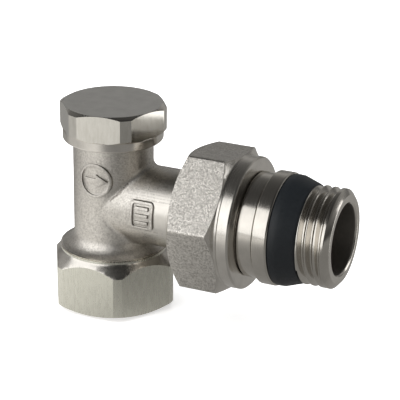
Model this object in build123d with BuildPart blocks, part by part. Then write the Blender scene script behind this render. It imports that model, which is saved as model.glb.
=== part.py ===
from build123d import *
import os

# Angle lockshield radiator valve, 1/2 inch, nickel-plated brass.
#
# Millimetres. The origin is the centre of the inlet mouth, +Z runs up the spindle axis and
# +X runs along the union towards the radiator. Threads are plain cylinders at their major
# diameter, so every screwed pair is a running fit.

os.makedirs("parts", exist_ok=True)

# ---- driving dimensions ---------------------------------------------------------------
AXIS_HEIGHT = 23.5  # inlet mouth to union axis
REACH = 53.0  # spindle axis to the end of the tail
TOP = 45.4  # inlet mouth to the top of the protective cap

PIPE_THREAD_R = 20.955 / 2  # G 1/2 major radius
UNION_THREAD_R = 12.5  # M25 x 1.5
CAP_THREAD_R = 8.0  # M16 x 1
BONNET_THREAD_R = 7.0  # M14 x 1
SPINDLE_THREAD_R = 5.5  # M11 x 1
FIT = 0.05  # radial clearance of a screwed or sliding fit
GAP = 0.05  # end clearance between pieces that meet

# inlet hexagon
HEX_FLATS = 25.0
HEX_CORNER_R = 13.9  # corners are turned down
HEX_TOP = 13.15
HEX_TOP_R = 11.65  # at the turned line under the flare
HEX_CHAMFER_Z = 10.15  # where that cone meets the turned corners
HEX_FOOT_R = 11.45
HEX_FOOT_Z = 1.3
INLET_R = PIPE_THREAD_R + 0.0225
INLET_DEPTH = 11.0

# forged neck and branch
NECK_R = 8.65
NECK_TOP = 38.0
FLARE_R = 3.6
BRANCH_R = 8.55
BLEND_R = 1.6
CHAMBER_R = 6.9
CHAMBER_FLOOR = 15.9
SEAT_Z = 16.4
SEAT_R = 5.2
SEAT_LIP_R = 6.1
THROAT_Z = 12.5
PORT_R = 6.2
MARK_HEIGHT = 0.42
MEDALLION_R = 3.8
MEDALLION_Z = 30.4
ARROW_SHAFT = (3.4, 1.1)
ARROW_HEAD_R = 1.7
ARROW_HEAD_X = 1.2
TABLET = (5.3, 6.2)
TABLET_X = 10.85
TABLET_RISE = 0.8  # its centre above the union axis
TABLET_BAR = (3.0, 0.7)
TABLET_BAR_PITCH = 1.55
RIM = 0.6  # width of the raised outlines

# union end of the body
COLLAR_X = 20.7
BODY_END_X = 28.4
SOCKET_X = 24.4
SOCKET_R = 9.0

# union tail
NOSE_R = 8.9
NOSE_BORE_R = 6.0
NOSE_GROOVE = (25.5, 27.5, 7.3)  # from, to, bottom radius
TAIL_NECK_R = 10.5
RING_GROOVE = (28.75, 30.15, 10.0)
BARREL_X = 33.45
BARREL_R = 11.2
FLANGE_X = 37.1
FLANGE_R = 12.0
GASKET_X = 40.4
GASKET_END = 46.0
GASKET_SEAT_R = 9.3
GASKET_R = 11.75
THREAD_X = 46.1
TAIL_CHAMFER = 1.0
TAIL_BORE_R = 7.5
KEY_FLATS = 12.4  # internal hexagon for the radiator spud key
KEY_X = (30.0, 38.0)

# union nut
NUT_FLATS = 28.4
NUT_CORNER_R = 16.35
NUT_BACK_X = 19.3
NUT_BACK_R = 14.2
NUT_HEX_END = 28.65
NUT_COLLAR_X = 29.75
NUT_COLLAR_R = 14.1
NUT_LINE_X = 30.3  # turned line round the collar
NUT_EDGE_X = 32.5
NUT_FACE_X = 33.2
NUT_FACE_R = 11.4
NUT_LIP_R = 10.7
NUT_LIP_X = RING_GROOVE[1] + GAP
NUT_CORNER_FILLET = 0.7
NUT_TURN = 22.6  # how far one corner stands from straight up

# protective cap
CAP_FLATS = 21.2
CAP_CORNER_R = 11.6
CAP_BOTTOM = 37.5
CAP_HEX_Z = 39.5
CAP_COLLAR_R = 10.8
CAP_TOP_R = 10.5
CAP_CHAMFER = 0.6
CAP_ROOF = 1.8
CAP_TURN = 10.0

# headwork
BONNET_BOTTOM = 29.6
BONNET_THREAD_Z = 31.0
BONNET_FLANGE_R = 8.55
BONNET_FLANGE_TOP = 39.2
BONNET_TOP = 43.0
GLAND_R = 4.55
GLAND_GROOVES = (31.5, 33.9)  # centre heights of the two spindle seals
SPINDLE_BORE_Z = 35.2
CLIP_Z = (41.9, 42.5)
CLIP_GROOVE_R = 6.2
CLIP_BAND = 1.05  # width of the circlip's ring
CLIP_OPENING = (3.0, 1.6)
CLIP_EAR = (-4.75, 1.55)  # centre of one eared hole
CLIP_EAR_R = 0.75
CLIP_HOLE_R = 0.3
STOP_WASHER_WIDTH = 0.85
STOP_WASHER_THICK = 0.4
GLAND_DEPTH = 1.4
GLAND_WIDTH = 1.6
SLOT = (2.0, 1.2)  # driver slots, width and depth

SPINDLE_R = 4.5
SPINDLE_BOTTOM = 22.2
SPINDLE_THREAD_Z = (35.3, 38.4)
SPINDLE_TOP = 39.2
SOCKET_FLATS = 5.0
SOCKET_BOTTOM = 34.0

SPINDLE_TIP_R = 4.1  # clears the ears of the circlip at full lift
HOLDER_R = 6.5
HOLDER_Z = (18.4, 20.2)
HOLDER_SHOULDER_R = 4.4
HOLDER_SKIRT = 1.0  # rim that keeps the seat washer round
WASHER_R = 6.05
STEM_R = 2.5
STEM_TOP = 26.8
SWIVEL_Z = 24.6
SWIVEL_GROOVE_R = 3.05
SWIVEL_WIRE_R = 0.4
SCREW_R = 1.5
SCREW_HEAD = (2.7, 1.5)  # radius, height
SCREW_LENGTH = 4.6
SCREW_SLOT = (0.7, 0.8)  # width, depth
RETAINER_R = 3.9
RETAINER_THICK = 0.55
RETAINER_Z = SEAT_Z + GAP - RETAINER_THICK
CAP_GASKET_BORE_R = 5.8

UNION_AXIS = Axis((0, 0, AXIS_HEIGHT), (1, 0, 0))
UNION_SIDE = Plane(origin=(0, 0, AXIS_HEIGHT), x_dir=(1, 0, 0), z_dir=(0, -1, 0))


# ---- helpers --------------------------------------------------------------------------
def profile(*points):
    """Closed face through points: (radius, height) on Plane.XZ, (along, radius) on UNION_SIDE."""
    Polygon(*points, align=None)


def union_end(x):
    """Plane across the union axis at x, its own x axis pointing up."""
    return Plane(origin=(x, 0, AXIS_HEIGHT), x_dir=(0, 0, 1), z_dir=(1, 0, 0))


def hexagon(flats, turn=0.0):
    RegularPolygon(flats / 2, 6, major_radius=False, rotation=turn)


def save(piece, name):
    piece.part.label = name
    export_step(piece.part, f"parts/{name}.step")
    print(f"{name}: {len(piece.part.solids())} solid, {piece.part.volume:.1f} mm3")


# ---- raised marks on the -Y side: a flow arrow in a ring, three bars in a frame -------
with BuildPart() as medallion:
    with BuildSketch(Plane.XY.offset(MEDALLION_Z - MEDALLION_R)):
        Circle(NECK_R + MARK_HEIGHT)
    extrude(amount=2 * MEDALLION_R)
    with BuildSketch(Plane.XZ):
        with Locations((0, MEDALLION_Z)):
            Circle(MEDALLION_R)
            Circle(MEDALLION_R - RIM, mode=Mode.SUBTRACT)
        with Locations((ARROW_HEAD_X - ARROW_SHAFT[0] / 2, MEDALLION_Z)):
            Rectangle(*ARROW_SHAFT)
        with Locations((ARROW_HEAD_X, MEDALLION_Z)):
            RegularPolygon(ARROW_HEAD_R, 3)
    extrude(amount=2 * NECK_R, mode=Mode.INTERSECT)

with BuildPart() as tablet:
    with BuildSketch(union_end(TABLET_X - TABLET[0] / 2)):
        Circle(BRANCH_R + MARK_HEIGHT)
    extrude(amount=TABLET[0])
    with BuildSketch(Plane.XZ):
        with Locations((TABLET_X, AXIS_HEIGHT + TABLET_RISE)):
            RectangleRounded(*TABLET, 0.8)
            RectangleRounded(TABLET[0] - 2 * RIM, TABLET[1] - 2 * RIM, 0.5, mode=Mode.SUBTRACT)
            with GridLocations(0, TABLET_BAR_PITCH, 1, 3):
                Rectangle(*TABLET_BAR)
    extrude(amount=2 * BRANCH_R, mode=Mode.INTERSECT)

# ---- valve body -----------------------------------------------------------------------
with BuildPart() as valve_body:
    with BuildSketch(Plane.XY):
        hexagon(HEX_FLATS)
    extrude(amount=HEX_TOP)
    with BuildSketch(Plane.XZ):
        profile(
            (0, 0),
            (HEX_FOOT_R, 0),
            (HEX_CORNER_R, HEX_FOOT_Z),
            (HEX_CORNER_R, HEX_CHAMFER_Z),
            (HEX_TOP_R + 0.35, HEX_TOP - 0.9),
            (HEX_TOP_R, HEX_TOP - 0.5),
            (HEX_TOP_R, HEX_TOP),
            (0, HEX_TOP),
        )
    revolve(axis=Axis.Z, mode=Mode.INTERSECT)

    # neck and branch, blended where they cross
    with BuildSketch(Plane.XY.offset(HEX_TOP)):
        Circle(NECK_R)
    extrude(amount=NECK_TOP - HEX_TOP)
    with BuildSketch(union_end(0)):
        Circle(BRANCH_R)
    extrude(amount=COLLAR_X)
    fillet(valve_body.edges().filter_by(GeomType.BSPLINE), BLEND_R)

    # flare from the hexagon into the neck
    with BuildSketch(Plane.XZ):
        with BuildLine():
            Line((0, HEX_TOP), (HEX_TOP_R - 0.35, HEX_TOP))
            Line((HEX_TOP_R - 0.35, HEX_TOP), (HEX_TOP_R - 0.35, HEX_TOP + 0.12))
            Line((HEX_TOP_R - 0.35, HEX_TOP + 0.12), (HEX_TOP_R - 0.05, HEX_TOP + 0.27))
            ThreePointArc(
                (HEX_TOP_R - 0.05, HEX_TOP + 0.27),
                (NECK_R + 0.98, HEX_TOP + 1.25),
                (NECK_R, HEX_TOP + FLARE_R),
            )
            Line((NECK_R, HEX_TOP + FLARE_R), (0, HEX_TOP + FLARE_R))
            Line((0, HEX_TOP + FLARE_R), (0, HEX_TOP))
        make_face()
    revolve(axis=Axis.Z)

    # threaded union end
    with BuildSketch(UNION_SIDE):
        profile(
            (COLLAR_X - 0.8, 0),
            (COLLAR_X - 0.8, BRANCH_R),
            (COLLAR_X, 11.3),
            (COLLAR_X + 1.2, 11.3),
            (COLLAR_X + 1.8, UNION_THREAD_R),
            (BODY_END_X - 0.8, UNION_THREAD_R),
            (BODY_END_X, UNION_THREAD_R - 0.8),
            (BODY_END_X, 0),
        )
    revolve(axis=UNION_AXIS)

    add(medallion.part)
    add(tablet.part)

    # waterway: inlet thread, throat, chamber with its seat, bonnet thread
    with BuildSketch(Plane.XZ):
        profile(
            (0, 0),
            (INLET_R, 0),
            (INLET_R, INLET_DEPTH),
            (SEAT_R + 1.6, INLET_DEPTH),
            (SEAT_R, THROAT_Z),
            (SEAT_R, SEAT_Z),
            (SEAT_LIP_R, SEAT_Z),
            (SEAT_LIP_R, CHAMBER_FLOOR),
            (CHAMBER_R, CHAMBER_FLOOR),
            (CHAMBER_R, BONNET_THREAD_Z),
            (BONNET_THREAD_R, BONNET_THREAD_Z),
            (BONNET_THREAD_R, NECK_TOP - 1),
            (BONNET_THREAD_R + 1.1, NECK_TOP - 1),
            (BONNET_THREAD_R + 1.1, NECK_TOP),
            (0, NECK_TOP),
        )
    revolve(axis=Axis.Z, mode=Mode.SUBTRACT)
    with BuildSketch(UNION_SIDE):
        profile(
            (0, 0),
            (0, PORT_R),
            (SOCKET_X, PORT_R),
            (SOCKET_X, SOCKET_R),
            (BODY_END_X - 0.4, SOCKET_R),
            (BODY_END_X, SOCKET_R + 0.4),
            (BODY_END_X, 0),
        )
    revolve(axis=UNION_AXIS, mode=Mode.SUBTRACT)

# ---- headwork -------------------------------------------------------------------------
with BuildPart() as bonnet:
    thread_r = BONNET_THREAD_R - 0.02
    with BuildSketch(Plane.XZ):
        profile(
            (GLAND_R, BONNET_BOTTOM),
            (CHAMBER_R - FIT - 0.4, BONNET_BOTTOM),
            (CHAMBER_R - FIT, BONNET_BOTTOM + 0.4),
            (CHAMBER_R - FIT, BONNET_THREAD_Z + 0.3),
            (thread_r, BONNET_THREAD_Z + 0.6),
            (thread_r, NECK_TOP),
            (BONNET_FLANGE_R, NECK_TOP),
            (BONNET_FLANGE_R, BONNET_FLANGE_TOP),
            (CAP_THREAD_R - 0.6, BONNET_FLANGE_TOP),
            (CAP_THREAD_R - 0.6, BONNET_FLANGE_TOP + 0.4),
            (CAP_THREAD_R, BONNET_FLANGE_TOP + 0.8),
            (CAP_THREAD_R, BONNET_TOP - 0.5),
            (CAP_THREAD_R - 0.5, BONNET_TOP),
            (SPINDLE_THREAD_R + FIT, BONNET_TOP),
            (SPINDLE_THREAD_R + FIT, SPINDLE_BORE_Z),
            (GLAND_R, SPINDLE_BORE_Z),
        )
    revolve(axis=Axis.Z)
    for groove_z in GLAND_GROOVES:  # seats of the spindle seals
        with BuildSketch(Plane.XY.offset(groove_z - GLAND_WIDTH / 2)):
            Circle(GLAND_R + GLAND_DEPTH)
        extrude(amount=GLAND_WIDTH, mode=Mode.SUBTRACT)
    with BuildSketch(Plane.XY.offset(CLIP_Z[0] - 0.02)):
        Circle(CLIP_GROOVE_R)
    extrude(amount=CLIP_Z[1] - CLIP_Z[0] + 0.04, mode=Mode.SUBTRACT)
    with BuildSketch(Plane.XY.offset(BONNET_TOP - SLOT[1] / 3)):
        Rectangle(2 * CAP_THREAD_R + 1, SLOT[0])
    extrude(amount=SLOT[1], mode=Mode.SUBTRACT)

with BuildPart() as stop_washer:
    with BuildSketch(Plane.XY.offset(CLIP_Z[0] - GAP - STOP_WASHER_THICK)):
        Circle(SPINDLE_THREAD_R)
        Circle(SPINDLE_THREAD_R - STOP_WASHER_WIDTH, mode=Mode.SUBTRACT)
    extrude(amount=STOP_WASHER_THICK)

with BuildPart() as circlip:
    with BuildSketch(Plane.XY.offset(CLIP_Z[0])):
        Circle(CLIP_GROOVE_R - FIT)
        Circle(CLIP_GROOVE_R - FIT - CLIP_BAND, mode=Mode.SUBTRACT)
        with Locations((-CLIP_GROOVE_R, 0)):
            Rectangle(*CLIP_OPENING, mode=Mode.SUBTRACT)
        with Locations((CLIP_EAR[0], CLIP_EAR[1]), (CLIP_EAR[0], -CLIP_EAR[1])):
            Circle(CLIP_EAR_R)
            Circle(CLIP_HOLE_R, mode=Mode.SUBTRACT)
    extrude(amount=CLIP_Z[1] - CLIP_Z[0])

with BuildPart() as regulating_spindle:
    with BuildSketch(Plane.XZ):
        profile(
            (0, SPINDLE_BOTTOM),
            (SPINDLE_R - 0.3, SPINDLE_BOTTOM),
            (SPINDLE_R, SPINDLE_BOTTOM + 0.3),
            (SPINDLE_R, SPINDLE_THREAD_Z[0]),
            (SPINDLE_THREAD_R - 0.4, SPINDLE_THREAD_Z[0]),
            (SPINDLE_THREAD_R, SPINDLE_THREAD_Z[0] + 0.4),
            (SPINDLE_THREAD_R, SPINDLE_THREAD_Z[1] - 0.3),
            (SPINDLE_THREAD_R - 0.3, SPINDLE_THREAD_Z[1]),
            (SPINDLE_TIP_R, SPINDLE_THREAD_Z[1]),
            (SPINDLE_TIP_R, SPINDLE_TOP - 0.3),
            (SPINDLE_TIP_R - 0.3, SPINDLE_TOP),
            (0, SPINDLE_TOP),
        )
    revolve(axis=Axis.Z)
    with BuildSketch(Plane.XY.offset(SPINDLE_TOP)):
        hexagon(SOCKET_FLATS)
    extrude(amount=SOCKET_BOTTOM - SPINDLE_TOP, mode=Mode.SUBTRACT)
    with BuildSketch(Plane.XZ):  # socket that the disc holder swivels in
        profile(
            (0, SPINDLE_BOTTOM),
            (STEM_R + FIT, SPINDLE_BOTTOM),
            (STEM_R + FIT, SWIVEL_Z - 0.5),
            (SWIVEL_GROOVE_R, SWIVEL_Z - 0.5),
            (SWIVEL_GROOVE_R, SWIVEL_Z + 0.5),
            (STEM_R + FIT, SWIVEL_Z + 0.5),
            (STEM_R + FIT, STEM_TOP + 0.2),
            (0, STEM_TOP + 1.6),
        )
    revolve(axis=Axis.Z, mode=Mode.SUBTRACT)

with BuildPart() as disc_holder:
    with BuildSketch(Plane.XZ):
        profile(
            (0, HOLDER_Z[0]),
            (WASHER_R, HOLDER_Z[0]),
            (WASHER_R, HOLDER_Z[0] - HOLDER_SKIRT),
            (HOLDER_R - 0.1, HOLDER_Z[0] - HOLDER_SKIRT),
            (HOLDER_R, HOLDER_Z[0] - HOLDER_SKIRT + 0.1),
            (HOLDER_R, HOLDER_Z[1] - 0.4),
            (HOLDER_R - 0.4, HOLDER_Z[1]),
            (HOLDER_SHOULDER_R, HOLDER_Z[1]),
            (HOLDER_SHOULDER_R, SPINDLE_BOTTOM - GAP),
            (STEM_R, SPINDLE_BOTTOM - GAP),
            (STEM_R, SWIVEL_Z - 0.42),
            (STEM_R - 0.35, SWIVEL_Z - 0.42),
            (STEM_R - 0.35, SWIVEL_Z + 0.42),
            (STEM_R, SWIVEL_Z + 0.42),
            (STEM_R, STEM_TOP - 0.3),
            (STEM_R - 0.3, STEM_TOP),
            (0, STEM_TOP),
        )
    revolve(axis=Axis.Z)
    with BuildSketch(Plane.XY.offset(HOLDER_Z[0])):
        Circle(SCREW_R + 0.02)
    extrude(amount=3.0, mode=Mode.SUBTRACT)

with BuildPart() as swivel_clip:
    with BuildSketch(Plane.XZ):
        with Locations((STEM_R + 0.05, SWIVEL_Z)):
            Circle(SWIVEL_WIRE_R)
    revolve(axis=Axis.Z, revolution_arc=320)

with BuildPart() as seat_washer:
    with BuildSketch(Plane.XY.offset(SEAT_Z + GAP)):
        Circle(WASHER_R - 0.02)
        Circle(SCREW_R + 0.1, mode=Mode.SUBTRACT)
    extrude(amount=HOLDER_Z[0] - SEAT_Z - GAP)
    chamfer(seat_washer.edges().group_by(Axis.Z)[0].sort_by(SortBy.LENGTH)[-1], 0.3)

with BuildPart() as washer_retainer:
    with BuildSketch(Plane.XY.offset(RETAINER_Z)):
        Circle(RETAINER_R)
        Circle(SCREW_R + 0.1, mode=Mode.SUBTRACT)
    extrude(amount=RETAINER_THICK)
    fillet(washer_retainer.edges().group_by(Axis.Z)[0].sort_by(SortBy.LENGTH)[-1], 0.4)

with BuildPart() as retainer_screw:
    with BuildSketch(Plane.XY.offset(RETAINER_Z)):
        Circle(SCREW_HEAD[0])
    extrude(amount=-SCREW_HEAD[1])
    chamfer(retainer_screw.edges().group_by(Axis.Z)[0], 0.3)
    with BuildSketch(Plane.XY.offset(RETAINER_Z)):
        Circle(SCREW_R)
    extrude(amount=SCREW_LENGTH)
    with BuildSketch(Plane.XY.offset(RETAINER_Z - SCREW_HEAD[1])):
        Rectangle(3 * SCREW_HEAD[0], SCREW_SLOT[0])
    extrude(amount=SCREW_SLOT[1], mode=Mode.SUBTRACT)

# ---- protective cap -------------------------------------------------------------------
with BuildPart() as protective_cap:
    with BuildSketch(Plane.XY.offset(CAP_HEX_Z)):
        hexagon(CAP_FLATS, turn=CAP_TURN)
    extrude(amount=TOP - CAP_HEX_Z)
    with BuildSketch(Plane.XZ):
        profile(
            (0, CAP_HEX_Z),
            (CAP_COLLAR_R, CAP_HEX_Z),
            (CAP_CORNER_R, CAP_HEX_Z + 0.6),
            (CAP_CORNER_R, TOP - CAP_CHAMFER),
            (CAP_TOP_R, TOP),
            (0, TOP),
        )
    revolve(axis=Axis.Z, mode=Mode.INTERSECT)
    with BuildSketch(Plane.XY.offset(CAP_HEX_Z)):
        Circle(CAP_COLLAR_R)
    extrude(amount=CAP_BOTTOM - CAP_HEX_Z)
    fillet(protective_cap.edges().group_by(Axis.Z)[0], 0.4)
    with BuildSketch(Plane.XZ):
        profile(
            (0, CAP_BOTTOM),
            (NECK_R + 0.1, CAP_BOTTOM),
            (NECK_R + 0.1, BONNET_FLANGE_TOP + 0.1),
            (CAP_THREAD_R + FIT, BONNET_FLANGE_TOP + 0.1 + NECK_R - CAP_THREAD_R),
            (CAP_THREAD_R + FIT, TOP - CAP_ROOF),
            (0, TOP - CAP_ROOF),
        )
    revolve(axis=Axis.Z, mode=Mode.SUBTRACT)

with BuildPart() as cap_gasket:
    with BuildSketch(Plane.XY.offset(BONNET_TOP + 0.03)):
        Circle(CAP_THREAD_R - 0.02)
        Circle(CAP_GASKET_BORE_R, mode=Mode.SUBTRACT)
    extrude(amount=TOP - CAP_ROOF - BONNET_TOP - 0.06)

# ---- union tail and nut ---------------------------------------------------------------
with BuildPart() as union_tail:
    with BuildSketch(UNION_SIDE):
        profile(
            (SOCKET_X + 0.2, NOSE_BORE_R),
            (SOCKET_X + 0.2, NOSE_R - 0.6),
            (SOCKET_X + 0.8, NOSE_R),
            (NOSE_GROOVE[0], NOSE_R),
            (NOSE_GROOVE[0], NOSE_GROOVE[2]),
            (NOSE_GROOVE[1], NOSE_GROOVE[2]),
            (NOSE_GROOVE[1], NOSE_R),
            (BODY_END_X + GAP, NOSE_R),
            (BODY_END_X + GAP, TAIL_NECK_R),
            (RING_GROOVE[0], TAIL_NECK_R),
            (RING_GROOVE[0], RING_GROOVE[2]),
            (RING_GROOVE[1], RING_GROOVE[2]),
            (RING_GROOVE[1], TAIL_NECK_R),
            (BARREL_X, TAIL_NECK_R),
            (BARREL_X, BARREL_R - 0.2),
            (BARREL_X + 0.2, BARREL_R),
            (FLANGE_X - 0.3, BARREL_R),
            (FLANGE_X - 0.3, BARREL_R - 0.3),
            (FLANGE_X, BARREL_R - 0.3),
            (FLANGE_X, FLANGE_R - 0.2),
            (FLANGE_X + 0.2, FLANGE_R),
            (GASKET_X - 0.3, FLANGE_R),
            (GASKET_X, FLANGE_R - 0.3),
            (GASKET_X, GASKET_SEAT_R),
            (THREAD_X - 0.1, GASKET_SEAT_R),
            (THREAD_X, PIPE_THREAD_R),
            (REACH - TAIL_CHAMFER, PIPE_THREAD_R),
            (REACH, PIPE_THREAD_R - 1.2 * TAIL_CHAMFER),
            (REACH, TAIL_BORE_R + 0.4),
            (REACH - 0.4, TAIL_BORE_R),
            (KEY_X[1], TAIL_BORE_R),
            (KEY_X[1], NOSE_BORE_R),
        )
    revolve(axis=UNION_AXIS)
    with BuildSketch(union_end(KEY_X[0])):
        hexagon(KEY_FLATS)
    extrude(amount=KEY_X[1] - KEY_X[0], mode=Mode.SUBTRACT)

with BuildPart() as tail_oring:
    with BuildSketch(UNION_SIDE):
        with Locations(((NOSE_GROOVE[0] + NOSE_GROOVE[1]) / 2, NOSE_GROOVE[2] + 0.8)):
            Circle(0.8)
    revolve(axis=UNION_AXIS)

with BuildPart() as tail_split_ring:
    with BuildSketch(UNION_SIDE):
        with Locations(((RING_GROOVE[0] + RING_GROOVE[1]) / 2, RING_GROOVE[2] + 0.7)):
            Circle(0.68)
    revolve(axis=UNION_AXIS, revolution_arc=345)

with BuildPart() as tail_gasket:
    with BuildSketch(UNION_SIDE):
        profile(
            (GASKET_X, GASKET_SEAT_R),
            (GASKET_X, GASKET_R - 0.25),
            (GASKET_X + 0.15, GASKET_R - 0.07),
            (GASKET_X + 0.5, GASKET_R),
            (GASKET_X + 1.8, GASKET_R - 0.05),
            (GASKET_END - 0.6, PIPE_THREAD_R + 0.15),
            (GASKET_END - 0.2, PIPE_THREAD_R - 0.05),
            (GASKET_END, PIPE_THREAD_R - 0.4),
            (GASKET_END, GASKET_SEAT_R),
        )
    revolve(axis=UNION_AXIS)

with BuildPart() as union_nut:
    with BuildSketch(union_end(NUT_BACK_X)):
        hexagon(NUT_FLATS, turn=NUT_TURN)
    extrude(amount=NUT_FACE_X - NUT_BACK_X)
    fillet(union_nut.edges().filter_by(Axis.X), NUT_CORNER_FILLET)
    with BuildSketch(UNION_SIDE):
        profile(
            (NUT_BACK_X, 0),
            (NUT_BACK_X, NUT_BACK_R),
            (NUT_BACK_X + 1.2, NUT_CORNER_R),
            (NUT_HEX_END, NUT_CORNER_R),
            (NUT_COLLAR_X, NUT_COLLAR_R),
            (NUT_LINE_X - 0.1, NUT_COLLAR_R),
            (NUT_LINE_X, NUT_COLLAR_R - 0.12),
            (NUT_LINE_X + 0.1, NUT_COLLAR_R),
            (NUT_EDGE_X, NUT_COLLAR_R),
            (NUT_EDGE_X + 0.35, NUT_COLLAR_R - 0.35),
            (NUT_FACE_X, NUT_FACE_R),
            (NUT_FACE_X, 0),
        )
    revolve(axis=UNION_AXIS, mode=Mode.INTERSECT)
    with BuildSketch(UNION_SIDE):
        profile(
            (NUT_BACK_X, 0),
            (NUT_BACK_X, UNION_THREAD_R + FIT + 0.5),
            (NUT_BACK_X + 0.5, UNION_THREAD_R + FIT),
            (NUT_LIP_X, UNION_THREAD_R + FIT),
            (NUT_LIP_X, NUT_LIP_R),
            (NUT_FACE_X - 0.3, NUT_LIP_R),
            (NUT_FACE_X, NUT_LIP_R + 0.3),
            (NUT_FACE_X, 0),
        )
    revolve(axis=UNION_AXIS, mode=Mode.SUBTRACT)

# ---- round seals ----------------------------------------------------------------------
save(valve_body, "valve_body")
SEALS = {  # name: (ring radius, section radius, height)
    "bonnet_oring": (7.58, 0.47, NECK_TOP - 0.5),
    "spindle_oring_lower": (5.26, 0.68, GLAND_GROOVES[0]),
    "spindle_oring_upper": (5.26, 0.68, GLAND_GROOVES[1]),
}
for seal_name, (ring_r, section_r, seal_z) in SEALS.items():
    with BuildPart() as seal:
        with BuildSketch(Plane.XZ):
            with Locations((ring_r, seal_z)):
                Circle(section_r)
        revolve(axis=Axis.Z)
    save(seal, seal_name)

PIECES = {
    "bonnet": bonnet,
    "stop_washer": stop_washer,
    "circlip": circlip,
    "regulating_spindle": regulating_spindle,
    "disc_holder": disc_holder,
    "swivel_clip": swivel_clip,
    "seat_washer": seat_washer,
    "washer_retainer": washer_retainer,
    "retainer_screw": retainer_screw,
    "protective_cap": protective_cap,
    "cap_gasket": cap_gasket,
    "union_tail": union_tail,
    "tail_oring": tail_oring,
    "tail_split_ring": tail_split_ring,
    "tail_gasket": tail_gasket,
    "union_nut": union_nut,
}
for piece_name, piece in PIECES.items():
    save(piece, piece_name)
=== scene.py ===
import math

import bpy
from mathutils import Matrix, Vector


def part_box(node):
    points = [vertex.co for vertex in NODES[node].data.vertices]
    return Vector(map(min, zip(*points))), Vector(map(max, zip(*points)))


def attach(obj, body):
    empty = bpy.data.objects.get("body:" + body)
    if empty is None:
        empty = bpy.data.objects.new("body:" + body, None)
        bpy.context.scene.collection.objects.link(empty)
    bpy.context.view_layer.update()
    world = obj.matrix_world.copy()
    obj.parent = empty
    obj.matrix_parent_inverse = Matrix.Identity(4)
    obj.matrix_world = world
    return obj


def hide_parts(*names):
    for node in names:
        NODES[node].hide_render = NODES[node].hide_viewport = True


# Looks of the angle lockshield radiator valve: threads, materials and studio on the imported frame.
MM = 0.001

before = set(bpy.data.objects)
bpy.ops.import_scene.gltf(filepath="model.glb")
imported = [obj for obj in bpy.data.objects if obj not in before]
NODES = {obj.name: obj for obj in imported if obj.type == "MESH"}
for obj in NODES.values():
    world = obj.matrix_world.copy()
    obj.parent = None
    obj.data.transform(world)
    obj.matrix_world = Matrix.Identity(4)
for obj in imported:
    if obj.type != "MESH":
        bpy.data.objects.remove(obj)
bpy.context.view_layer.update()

# ---- measures taken from the frame, in millimetres --------------------------------------
tail_lo, tail_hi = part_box("union_tail")
AXIS_H = (tail_lo.z + tail_hi.z) / 2 / MM  # height of the union axis
TAIL_END = tail_hi.x / MM
BODY_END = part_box("valve_body")[1].x / MM
BONNET_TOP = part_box("bonnet")[1].z / MM
CAP_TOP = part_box("protective_cap")[1].z / MM

# ---- measures of the threads and faces, in millimetres ------------------------------------
PIPE_R, PIPE_PITCH, PIPE_DEPTH = 20.955 / 2, 25.4 / 14, 1.16
UNION_R, UNION_PITCH, UNION_DEPTH = 12.5, 1.5, 0.92
CAP_R, CAP_PITCH, CAP_DEPTH = 8.0, 1.0, 0.61
INLET_R, INLET_CREST_R = 10.5, 9.34
TAIL_THREAD = 7.45  # each thread starts this far from the end of its piece
UNION_THREAD = 5.6
CAP_THREAD = 3.2
TAIL_BORE_R = 7.6  # just outside the bore, so that its wall counts as bore
NECK_R, BRANCH_R = 8.65, 8.55
HEXAGON_TOP = 13.5  # height of the inlet hexagon with its chamfer
INLET_DEPTH = 13.3
NECK_RIM = 37.9
UNION_COLLAR = 14.2  # the branch is turned from here on
ROUND_MARK = (25.8, 35.0)  # heights on the neck
SQUARE_MARK = (7.4, 14.2)  # distances along the branch
MARK_FRONT = -6.0  # the marks lie in front of this
MARK_BASE, MARK_TOP = 0.02, 0.40  # heights of a mark's side above the surface
MARK_SLOPE = 0.93  # a face that leans more than this is a mark's side
CAP_COLLAR_TOP = 39.7
CAP_FLAT_R = 10.0
NUT_FLAT_R = 14.2  # from the union axis to a flat; the collar beside them is 14.1
LEVEL = 0.05  # a normal counts as square to an axis below this
CAST_EDGE_ANGLE = 24  # edges sharper than this, in degrees, are rounded

scene = bpy.context.scene
scene.view_settings.view_transform = "Standard"
scene.view_settings.look = "None"


# ---- mesh helpers -----------------------------------------------------------------------
def new_object(name, verts, faces, smooth=True):
    mesh = bpy.data.meshes.new(name)
    mesh.from_pydata([tuple(v) for v in verts], [], [tuple(f) for f in faces])
    mesh.update()
    mesh.polygons.foreach_set("use_smooth", [smooth] * len(mesh.polygons))
    obj = bpy.data.objects.new(name, mesh)
    scene.collection.objects.link(obj)
    return obj


UNION_FRAME = (Vector((0, 0, AXIS_H)), Vector((1, 0, 0)), Vector((0, 1, 0)), Vector((0, 0, 1)))
STEM_FRAME = (Vector((0, 0, 0)), Vector((0, 0, 1)), Vector((1, 0, 0)), Vector((0, 1, 0)))


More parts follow.
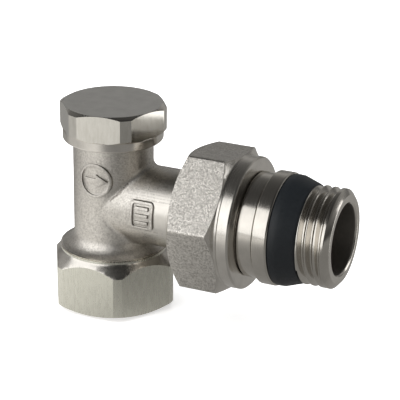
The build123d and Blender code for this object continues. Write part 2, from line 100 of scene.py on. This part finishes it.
def coil(
    name, axes, section, pitch, start, turns, phase, fade_in=0.0, fade_out=0.0, lift=0.0, steps=96
):
    """Solid that follows a right-hand helix. section is (along, radius) points; over the fades,
    in turns, the section moves outwards by lift."""
    origin, along, first, second = axes
    count = int(turns * steps) + 1
    verts, faces = [], []
    for i in range(count):
        turn = i / steps
        ease = 0.0
        if fade_in and turn < fade_in:
            ease = (1 - turn / fade_in) ** 2
        if fade_out and turn > turns - fade_out:
            ease = ((turn - turns + fade_out) / fade_out) ** 2
        angle = phase + 2 * math.pi * turn
        for offset, radius in section:
            r = radius + lift * ease
            point = origin + along * (start + pitch * turn + offset)
            point = point + (first * math.cos(angle) + second * math.sin(angle)) * r
            verts.append(point * MM)
    n = len(section)
    for i in range(count - 1):
        a, b = i * n, (i + 1) * n
        for j in range(n):
            k = (j + 1) % n
            faces.append((a + j, b + j, b + k, a + k))
    faces.append(tuple(range(n)))
    faces.append(tuple(reversed(range((count - 1) * n, count * n))))
    obj = new_object(name, verts, faces)
    if mesh_volume(verts, faces) < 0:
        obj.data.flip_normals()
    return obj


def mesh_volume(verts, faces):
    total = 0.0
    for f in faces:
        a = Vector(verts[f[0]])
        for i in range(1, len(f) - 1):
            total += a.dot(Vector(verts[f[i]]).cross(Vector(verts[f[i + 1]])))
    return total


def groove(pitch, depth, crest_r, flat=0.08, root=0.08):
    """Section of the tool that cuts an outside thread, with softly rounded crest and root."""
    half = pitch / 2 * (1 - flat)
    low = pitch / 2 * root * 1.6
    slope = [
        (half + 0.07 * pitch, crest_r + 0.10 * depth),
        (half, crest_r - 0.01 * depth),
        (half - 0.05 * pitch, crest_r - 0.10 * depth),
        (low + 0.05 * pitch, crest_r - 0.93 * depth),
        (low, crest_r - depth),
    ]
    return slope + [(-x, r) for x, r in reversed(slope)]


def bake(obj, *settings):
    """Run modifiers on a new piece and keep the result as its mesh."""
    for kind, values in settings:
        mod = obj.modifiers.new(kind.lower(), kind)
        for key, value in values.items():
            setattr(mod, key, value)
    bpy.context.view_layer.update()
    evaluated = obj.evaluated_get(bpy.context.evaluated_depsgraph_get())
    mesh = bpy.data.meshes.new_from_object(evaluated)
    obj.modifiers.clear()
    old = obj.data
    obj.data = mesh
    bpy.data.meshes.remove(old)


def remove(obj):
    mesh = obj.data
    bpy.data.objects.remove(obj)
    bpy.data.meshes.remove(mesh)


def piece_for(node, name, body, edge, tools=(), angle=30.0):
    """New piece that stands for a CAD node: its surface with the edges rounded and threads cut."""
    mesh = NODES[node].data.copy()
    mesh.name = name
    if "custom_normal" in mesh.attributes:
        mesh.attributes.remove(mesh.attributes["custom_normal"])
    mesh.polygons.foreach_set("use_smooth", [True] * len(mesh.polygons))
    mesh.materials.clear()
    obj = bpy.data.objects.new(name, mesh)
    scene.collection.objects.link(obj)
    round_edges = {
        "width": edge * MM,
        "segments": 2,
        "limit_method": "ANGLE",
        "angle_limit": math.radians(CAST_EDGE_ANGLE),
    }
    bake(obj, ("WELD", {"merge_threshold": 1e-6}), ("BEVEL", round_edges))
    for tool in tools:
        bake(obj, ("BOOLEAN", {"object": tool, "operation": "DIFFERENCE", "solver": "EXACT"}))
        remove(tool)
    obj.data.set_sharp_from_angle(angle=math.radians(angle))
    normals = obj.modifiers.new("normals", "WEIGHTED_NORMAL")
    normals.keep_sharp = True
    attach(obj, body)
    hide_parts(node)
    return obj


# ---- material helpers -------------------------------------------------------------------
class Nodes:
    """A small builder for one material's node tree."""

    def __init__(self, name):
        self.mat = bpy.data.materials.new(name)
        self.mat.use_nodes = True
        self.tree = self.mat.node_tree
        self.bsdf = self.tree.nodes["Principled BSDF"]
        coord = self.tree.nodes.new("ShaderNodeTexCoord")
        scaled = self.tree.nodes.new("ShaderNodeVectorMath")
        scaled.operation = "SCALE"
        scaled.inputs["Scale"].default_value = 1000.0
        self.link(coord.outputs["Object"], scaled.inputs[0])
        self.mm = scaled.outputs[0]  # position in millimetres
        split = self.tree.nodes.new("ShaderNodeSeparateXYZ")
        self.link(self.mm, split.inputs[0])
        self.x, self.y, self.z = split.outputs

    def link(self, a, b):
        self.tree.links.new(a, b)

    def math(self, op, a, b=None, clamp=False):
        node = self.tree.nodes.new("ShaderNodeMath")
        node.operation = op
        node.use_clamp = clamp
        for i, value in enumerate((a, b)):
            if value is None:
                continue
            if isinstance(value, (int, float)):
                node.inputs[i].default_value = value
            else:
                self.link(value, node.inputs[i])
        return node.outputs[0]

    def radius(self, a, b):
        squares = self.math("ADD", self.math("MULTIPLY", a, a), self.math("MULTIPLY", b, b))
        return self.math("SQRT", squares)

    def noise(self, scale, detail=2.0, rough=0.5, vector=None, w=None):
        node = self.tree.nodes.new("ShaderNodeTexNoise")
        if w is not None:
            node.noise_dimensions = "1D"
            self.link(w, node.inputs["W"])
        else:
            self.link(vector or self.mm, node.inputs["Vector"])
        node.inputs["Scale"].default_value = scale
        node.inputs["Detail"].default_value = detail
        node.inputs["Roughness"].default_value = rough
        return node.outputs[0]

    def ramp(self, value, low, high, out_low=0.0, out_high=1.0, smooth=False):
        node = self.tree.nodes.new("ShaderNodeMapRange")
        node.interpolation_type = "SMOOTHSTEP" if smooth else "LINEAR"
        self.link(value, node.inputs["Value"])
        node.inputs["From Min"].default_value = low
        node.inputs["From Max"].default_value = high
        node.inputs["To Min"].default_value = out_low
        node.inputs["To Max"].default_value = out_high
        return node.outputs[0]

    def color(self, value, dark, light):
        node = self.tree.nodes.new("ShaderNodeMix")
        node.data_type = "RGBA"
        self.link(value, node.inputs["Factor"])
        node.inputs["A"].default_value = (*dark, 1)
        node.inputs["B"].default_value = (*light, 1)
        self.link(node.outputs["Result"], self.bsdf.inputs["Base Color"])

    def bump(self, height, strength, distance, after=None):
        node = self.tree.nodes.new("ShaderNodeBump")
        node.inputs["Strength"].default_value = strength
        node.inputs["Distance"].default_value = distance * MM
        self.link(height, node.inputs["Height"])
        if after is not None:
            self.link(after, node.inputs["Normal"])
        self.link(node.outputs["Normal"], self.bsdf.inputs["Normal"])
        return node.outputs["Normal"]

    def along_union(self):
        """Position along a turned profile about the union axis."""
        dz = self.math("SUBTRACT", self.z, AXIS_H)
        return self.math("ADD", self.x, self.radius(self.y, dz))

    def along_stem(self):
        return self.math("ADD", self.z, self.radius(self.x, self.y))


NICKEL_LIGHT = (0.72, 0.69, 0.64)
NICKEL_DARK = (0.58, 0.55, 0.505)


def blasted(name, grain, depth, rough, pits=0.0, light=NICKEL_LIGHT, dark=NICKEL_DARK, soft=None):
    """Nickel plate over a shot-blasted forging; pits darkens and deepens the hollows."""
    n = Nodes(name)
    n.bsdf.inputs["Metallic"].default_value = 1.0
    coarse = n.noise(1.0 / grain, 4.0, 0.75)
    slow = n.noise(0.35, 2.0)
    fine = n.noise(2.6 / grain, 2.0, 0.6)
    speckle = n.math("ADD", n.math("MULTIPLY", coarse, 0.6), n.math("MULTIPLY", fine, 0.4))
    if soft:  # cast edges are rounded
        edge = n.tree.nodes.new("ShaderNodeBevel")
        edge.samples = 6
        edge.inputs["Radius"].default_value = soft * MM
        soft = edge.outputs["Normal"]
    hollow = tuple(c * (1 - pits) for c in dark)
    n.color(n.ramp(speckle, 0.40, 0.56), hollow, light)
    worn = n.math("MULTIPLY", n.ramp(speckle, 0.40, 0.60), -0.12)
    patches = n.ramp(slow, 0.3, 0.7, rough + 0.04, rough + 0.14)
    n.link(n.math("ADD", worn, patches), n.bsdf.inputs["Roughness"])
    n.bump(speckle, 1.0, depth, after=soft)
    return n.mat


def turned(name, axis, rough, line=0.22, depth=0.006, light=NICKEL_LIGHT, dark=None, metallic=1.0):
    """Lathe-turned metal with fine lines round the axis."""
    n = Nodes(name)
    n.bsdf.inputs["Metallic"].default_value = metallic
    dark = dark or tuple(c * 0.9 for c in light)
    path = n.along_union() if axis == "union" else n.along_stem()
    lines = n.noise(1.0 / line, 3.0, 0.7, w=path)
    patch = n.noise(0.4, 2.0)
    n.color(n.ramp(patch, 0.3, 0.7), dark, light)
    n.link(n.ramp(lines, 0.3, 0.7, rough - 0.04, rough + 0.05), n.bsdf.inputs["Roughness"])
    n.bump(lines, 1.0, depth)
    return n.mat


def milled(name, rough, grain=0.5, depth=0.01, light=NICKEL_LIGHT, dark=NICKEL_DARK, stretch=1.0):
    """Flats left smooth, with faint mottling under the plate."""
    n = Nodes(name)
    n.bsdf.inputs["Metallic"].default_value = 1.0
    squeezed = n.tree.nodes.new("ShaderNodeVectorMath")
    squeezed.operation = "MULTIPLY"
    squeezed.inputs[1].default_value = (1.0, 1.0, 1.0 / stretch)
    n.link(n.mm, squeezed.inputs[0])
    mottle = n.noise(1.0 / grain, 3.0, 0.6, vector=squeezed.outputs[0])
    n.color(n.ramp(mottle, 0.3, 0.7), dark, light)
    n.link(n.ramp(mottle, 0.3, 0.7, rough - 0.04, rough + 0.04), n.bsdf.inputs["Roughness"])
    n.bump(mottle, 1.0, depth)
    return n.mat


def rubber(name, color, rough, grain=0.4, depth=0.01, specular=0.5):
    """Moulded rubber or plastic with a fine uneven skin."""
    n = Nodes(name)
    n.bsdf.inputs["Specular IOR Level"].default_value = specular
    skin = n.noise(1.0 / grain, 3.0, 0.6)
    n.color(skin, tuple(c * 0.7 for c in color), tuple(c * 1.3 for c in color))
    n.link(n.ramp(skin, 0.3, 0.7, rough - 0.06, rough + 0.06), n.bsdf.inputs["Roughness"])
    n.bump(skin, 1.0, depth)
    return n.mat


FORGED = blasted("forged_nickel", 0.42, 0.085, 0.33, pits=0.2, soft=0.32)
# sides of the raised marks: darker nickel as painted shade all round every mark
MARK_SIDE_SHADE = blasted(
    "mark_side_painted_shade_nickel", 0.4, 0.05, 0.40, pits=0.3,
    light=(0.40, 0.375, 0.34), dark=(0.26, 0.24, 0.215), soft=0.22,
)
NUT_GRAIN = blasted("nut_blasted_nickel", 0.42, 0.125, 0.28, pits=0.4, light=(0.78, 0.75, 0.70))
BODY_TURNED = turned("body_turned_nickel", "stem", 0.24)
BODY_UNION = turned("body_union_nickel", "union", 0.3)
HEX_FLAT = milled(
    "hexagon_flat_nickel", 0.28, stretch=5.0, depth=0.014,
    light=(0.71, 0.70, 0.615), dark=(0.60, 0.59, 0.52),
)
CAP_SIDE = milled(
    "cap_flat_nickel", 0.16, grain=0.8, depth=0.005, stretch=4.0,
    light=(0.70, 0.68, 0.63), dark=(0.60, 0.58, 0.53),
)
CAP_TURNED = turned("cap_turned_nickel", "stem", 0.36, line=0.3, depth=0.008, light=(0.76, 0.75, 0.72))
CAP_POLISH = turned("cap_polished_nickel", "stem", 0.2, line=0.2, depth=0.004)
NUT_TURNED = turned("nut_turned_nickel", "union", 0.22)
TAIL_TURNED = turned(
    "tail_turned_nickel", "union", 0.17, line=0.3, depth=0.005, light=(0.64, 0.61, 0.56)
)
BORE = turned("bore_nickel", "union", 0.5, light=(0.46, 0.44, 0.41))
BRASS = turned("turned_brass", "stem", 0.26, light=(0.83, 0.62, 0.31))
STEEL = turned("spring_steel", "stem", 0.22, light=(0.6, 0.6, 0.61))
EPDM = rubber("epdm_black", (0.02, 0.02, 0.021), 0.5)
RING = rubber(
    "rubber_ring_black", (0.006, 0.0075, 0.009), 0.46, grain=0.6, depth=0.02, specular=0.32
)
PTFE = rubber("ptfe_white", (0.75, 0.75, 0.73), 0.4)
FIBRE = rubber("red_fibre", (0.32, 0.05, 0.035), 0.7, grain=0.15, depth=0.02)


def paint(obj, mats, choose):
    """Give a new piece its materials; choose(centre in mm, normal) picks one by index."""
    mesh = obj.data
    mesh.materials.clear()
    for mat in mats:
        mesh.materials.append(mat)
    for poly in mesh.polygons:
        poly.material_index = choose(poly.center / MM, poly.normal)


def assign(node, mat):
    """Put a material in every slot of a CAD node's object."""
    for slot in NODES[node].material_slots:
        slot.link = "OBJECT"
        slot.material = mat


def body_finish(c, n):
    """0 forged, 1 turned about the stem, 2 about the union, 3 hexagon flat, 4 bore, 5 mark's side,
    darkened with painted shade.
    """
    from_stem = math.hypot(c.x, c.y)
    from_union = math.hypot(c.y, c.z - AXIS_H)
    outward = (c.x * n.x + c.y * n.y) / max(from_stem, 0.01)
    off_union = (c.y * n.y + (c.z - AXIS_H) * n.z) / max(from_union, 0.01)
    off_neck_wall = MARK_BASE < from_stem - NECK_R < MARK_TOP
    off_branch_wall = MARK_BASE < from_union - BRANCH_R < MARK_TOP
    on_neck = ROUND_MARK[0] < c.z < ROUND_MARK[1] and off_neck_wall and c.y < MARK_FRONT
    on_branch = SQUARE_MARK[0] < c.x < SQUARE_MARK[1] and off_branch_wall and c.y < MARK_FRONT
    # the sides of the raised marks take the painted shade
    if on_neck and outward < MARK_SLOPE or on_branch and off_union < MARK_SLOPE:
        return 5
    if c.x > UNION_COLLAR and from_union < 13:
        return 2
    if from_stem < 7.6 and c.z > 13 or from_union < 6.5 and c.x > 5:
        return 4
    if c.z < INLET_DEPTH and (from_stem < 10.7 or outward < -0.5):
        return 4
    if c.z < HEXAGON_TOP and abs(n.z) < LEVEL:
        return 3
    if c.z < HEXAGON_TOP or c.z > NECK_RIM:
        return 1
    return 0


def cap_finish(c, n):
    """0 turned top, 1 flats, 2 polished collar and turned corners."""
    if c.z < CAP_COLLAR_TOP or abs(n.z) > 0.15 and c.z < CAP_TOP - 0.1:
        return 2
    if abs(n.z) < LEVEL and math.hypot(c.x, c.y) > CAP_FLAT_R:
        return 1
    return 0


def nut_finish(c, n):
    """0 blasted flats, 1 turned faces."""
    from_union = math.hypot(c.y, c.z - AXIS_H)
    if from_union > NUT_FLAT_R - 0.04 and abs(n.x) < LEVEL:
        return 0
    return 1


# ---- pieces that stand for CAD nodes ----------------------------------------------------
FRONT = math.radians(180 + 25)  # direction of the thread's start, about the union axis
tail_tool = coil(
    "tail_thread_tool", UNION_FRAME, groove(PIPE_PITCH, PIPE_DEPTH, PIPE_R), PIPE_PITCH,
    TAIL_END - TAIL_THREAD, 3.1, FRONT, fade_out=0.4, lift=1.4, steps=160,
)
union_tool = coil(
    "union_thread_tool", UNION_FRAME, groove(UNION_PITCH, UNION_DEPTH, UNION_R), UNION_PITCH,
    BODY_END - UNION_THREAD, 4.6, FRONT, fade_in=0.5, lift=1.1, steps=120,
)
cap_tool = coil(
    "cap_thread_tool", STEM_FRAME, groove(CAP_PITCH, CAP_DEPTH, CAP_R), CAP_PITCH,
    BONNET_TOP - CAP_THREAD, 4.2, 0.0, fade_in=0.5, lift=0.8, steps=100,
)
body = piece_for("valve_body", "body_casting", "valve", 0.12, [union_tool])
cap = piece_for("protective_cap", "cap_cover", "cap", 0.08)
nut = piece_for("union_nut", "nut_hexagon", "nut", 0.14)
tail = piece_for("union_tail", "tail_threaded", "tail", 0.10, [tail_tool])
ring = piece_for("tail_gasket", "tail_seal_ring", "tail", 0.10)
headwork = piece_for("bonnet", "bonnet_threaded", "valve", 0.06, [cap_tool])

paint(body, [FORGED, BODY_TURNED, BODY_UNION, HEX_FLAT, BORE, MARK_SIDE_SHADE], body_finish)
paint(cap, [CAP_TURNED, CAP_SIDE, CAP_POLISH], cap_finish)
paint(nut, [NUT_GRAIN, NUT_TURNED], nut_finish)
paint(tail, [TAIL_TURNED, BORE], lambda c, n: int(math.hypot(c.y, c.z - AXIS_H) < TAIL_BORE_R))
paint(ring, [RING], lambda c, n: 0)
paint(headwork, [BRASS], lambda c, n: 0)

ridge = [
    (-0.75, INLET_R + 0.03),
    (-0.14, INLET_CREST_R),
    (0.14, INLET_CREST_R),
    (0.75, INLET_R + 0.03),
]
inlet_thread = coil(
    "inlet_thread", STEM_FRAME, ridge, PIPE_PITCH, 1.5, 4.6, 0.0,
    fade_in=0.4, fade_out=0.4, lift=1.1, steps=120,
)
inlet_thread.data.set_sharp_from_angle(angle=math.radians(30))
inlet_thread.data.materials.append(BORE)
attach(inlet_thread, "valve")

# ---- CAD nodes kept as they are, with better materials -----------------------------------
for name in ("regulating_spindle", "disc_holder"):
    assign(name, BRASS)
for name in ("retainer_screw", "washer_retainer", "circlip", "swivel_clip", "tail_split_ring"):
    assign(name, STEEL)
for name in (
    "bonnet_oring", "spindle_oring_lower", "spindle_oring_upper", "seat_washer", "tail_oring",
):
    assign(name, EPDM)
assign("stop_washer", PTFE)
assign("cap_gasket", FIBRE)

# ---- studio -----------------------------------------------------------------------------
def sheet(name, half, below, material):
    """Level square reaching half each way, that far below the origin, in metres."""
    corners = [(-half, -half), (half, -half), (half, half), (-half, half)]
    obj = new_object(name, [(x, y, -below) for x, y in corners], [(0, 1, 2, 3)], smooth=False)
    obj.data.materials.append(material)
    return obj


floor = bpy.data.materials.new("floor_paper")
floor.use_nodes = True
floor_bsdf = floor.node_tree.nodes["Principled BSDF"]
floor_bsdf.inputs["Base Color"].default_value = (0.88, 0.88, 0.88, 1)
floor_bsdf.inputs["Roughness"].default_value = 0.9
floor_bsdf.inputs["Specular IOR Level"].default_value = 0.1
floor_bsdf.inputs["Emission Color"].default_value = (1, 1, 1, 1)
floor_bsdf.inputs["Emission Strength"].default_value = 0.5
ground = sheet("ground", 4, 0.0002, floor)
ground.visible_glossy = False

AIM = Vector((0.02, 0, 0.02))


def softbox(name, azimuth, elevation, distance, width, height, radiance, glossy=True):
    """Area light in the direction azimuth (0 is -Y, 90 is +X) and elevation, facing the object."""
    light = bpy.data.lights.new(name, "AREA")
    light.shape = "RECTANGLE"
    light.size = width
    light.size_y = height
    light.energy = radiance * math.pi * width * height
    obj = bpy.data.objects.new(name, light)
    scene.collection.objects.link(obj)
    a, e = math.radians(azimuth), math.radians(elevation)
    way = Vector((math.sin(a) * math.cos(e), -math.cos(a) * math.cos(e), math.sin(e)))
    obj.location = AIM + way * distance
    obj.rotation_euler = (-way).to_track_quat("-Z", "Y").to_euler()
    obj.visible_glossy = glossy
    obj.visible_camera = False
    return obj


softbox("key", -34, 26, 0.30, 0.46, 0.30, 1.38)
edge = softbox("edge_card", 114, 2, 0.085, 0.024, 0.060, 1.7)
edge.visible_diffuse = False
softbox("overhead", 0, 88, 0.9, 2.0, 2.0, 2.4, glossy=False)

world = bpy.data.worlds.new("studio")
scene.world = world
world.use_nodes = True
tree = world.node_tree
background = tree.nodes["Background"]
coords = tree.nodes.new("ShaderNodeTexCoord")
split = tree.nodes.new("ShaderNodeSeparateXYZ")
tree.links.new(coords.outputs["Generated"], split.inputs[0])
LEFT_RIGHT, FRONT_BACK, HEIGHT = split.outputs


def world_math(op, a, b=0.0):
    node = tree.nodes.new("ShaderNodeMath")
    node.operation = op
    for i, value in enumerate((a, b)):
        if isinstance(value, (int, float)):
            node.inputs[i].default_value = value
        else:
            tree.links.new(value, node.inputs[i])
    return node.outputs[0]


def curve(tree, value, stops):
    """Value of a curve through (position, brightness) stops, brightness up to 2."""
    low, high = stops[0][0], stops[-1][0]
    span = tree.nodes.new("ShaderNodeMapRange")
    tree.links.new(value, span.inputs["Value"])
    span.inputs["From Min"].default_value = low
    span.inputs["From Max"].default_value = high
    ramp = tree.nodes.new("ShaderNodeValToRGB")
    tree.links.new(span.outputs["Result"], ramp.inputs["Fac"])
    elements = ramp.color_ramp.elements
    while len(elements) < len(stops):
        elements.new(0.5)
    for element, (position, level) in zip(elements, stops):
        element.position = (position - low) / (high - low)
        element.color = (level / 2,) * 3 + (1,)
    double = tree.nodes.new("ShaderNodeMath")
    double.operation = "MULTIPLY"
    double.inputs[1].default_value = 2.0
    tree.links.new(ramp.outputs["Color"], double.inputs[0])
    return double.outputs[0]


def blend(tree, factor, a, b):
    mix = tree.nodes.new("ShaderNodeMix")
    mix.data_type = "FLOAT"
    tree.links.new(factor, mix.inputs["Factor"])
    tree.links.new(a, mix.inputs["A"])
    tree.links.new(b, mix.inputs["B"])
    return mix.outputs["Result"]


# direction round the object in degrees: 0 is the front, -Y, and 90 is the union's end, +X
azimuth = world_math("ARCTAN2", LEFT_RIGHT, world_math("MULTIPLY", FRONT_BACK, -1.0))
azimuth = world_math("MULTIPLY", azimuth, 180 / math.pi)
below = curve(tree, azimuth, [
    (-180, 0.45), (-90, 0.6), (-40, 0.95), (0, 0.5), (20, 0.28), (180, 0.45),
])
room = curve(tree, HEIGHT, [
    (0, 0.12), (0.1, 0.18), (0.36, 0.42), (0.6, 0.15), (0.85, 0.08), (1.0, 0.05),
])
around = curve(tree, azimuth, [
    (-180, 1.0), (-100, 1.0), (0, 0.8), (20, 0.35), (90, 0.30), (110, 0.6), (140, 0.8), (180, 1.0),
])
above = world_math("MULTIPLY", room, around)
horizon = curve(tree, HEIGHT, [(-0.03, 0.0), (0.03, 1.0)])
tree.links.new(blend(tree, horizon, below, above), background.inputs["Strength"])
background.inputs["Color"].default_value = (1.0, 0.985, 0.96, 1)

# the floor as the metal reflects it: bright towards the key light, dim on the right
glow = bpy.data.materials.new("floor_reflection")
glow.use_nodes = True
glow_tree = glow.node_tree
glow_tree.nodes.remove(glow_tree.nodes["Principled BSDF"])
glow_coords = glow_tree.nodes.new("ShaderNodeTexCoord")
glow_split = glow_tree.nodes.new("ShaderNodeSeparateXYZ")
glow_tree.links.new(glow_coords.outputs["Object"], glow_split.inputs[0])
glow_x, glow_y = glow_split.outputs[0], glow_split.outputs[1]
front = curve(glow_tree, glow_x, [
    (-0.30, 0.50), (-0.09, 0.62), (-0.06, 0.9), (-0.03, 1.0), (-0.010, 0.88), (0.008, 0.52),
    (0.02, 0.36), (0.04, 0.26), (0.09, 0.26), (0.30, 0.3),
])
rear = curve(glow_tree, glow_x, [(-0.30, 0.34), (0.05, 0.36), (0.30, 0.40)])
depth = curve(glow_tree, glow_y, [(-0.01, 0.0), (0.02, 1.0)])
emission = glow_tree.nodes.new("ShaderNodeEmission")
emission.inputs["Color"].default_value = (1.0, 0.985, 0.955, 1)
glow_tree.links.new(blend(glow_tree, depth, front, rear), emission.inputs["Strength"])
glow_tree.links.new(emission.outputs[0], glow_tree.nodes["Material Output"].inputs["Surface"])
reflector = sheet("floor_reflector", 1, 0.0004, glow)
reflector.visible_camera = False
reflector.visible_diffuse = False
reflector.visible_shadow = False
reflector.visible_transmission = False

# ---- camera -----------------------------------------------------------------------------
SENSOR_WIDTH, FOCAL_LENGTH = 36.0, 153.1251
AZIMUTH, ELEVATION, ROLL = 24.18, 21.96, 0.72
TARGET = Vector((20, 0, 20))
DISTANCE = 362.06
TO_RIGHT, UPWARD = 0.48519, 5.94145  # how far the camera stands off the line to its target

az, el, roll = (math.radians(a) for a in (AZIMUTH, ELEVATION, ROLL))
back = Vector((math.sin(az) * math.cos(el), -math.cos(az) * math.cos(el), math.sin(el)))
right = Vector((math.cos(az), math.sin(az), 0))
up = back.cross(right)
right, up = (
    math.cos(roll) * right + math.sin(roll) * up,
    -math.sin(roll) * right + math.cos(roll) * up,
)
place = (TARGET + DISTANCE * back + TO_RIGHT * right + UPWARD * up) * MM
lens = bpy.data.cameras.new("camera")
lens.sensor_width = SENSOR_WIDTH
lens.lens = FOCAL_LENGTH
lens.clip_start = 0.01
camera = bpy.data.objects.new("camera", lens)
camera.matrix_world = Matrix.Translation(place) @ Matrix((right, up, back)).transposed().to_4x4()
scene.collection.objects.link(camera)
scene.camera = camera

bpy.context.view_layer.update()
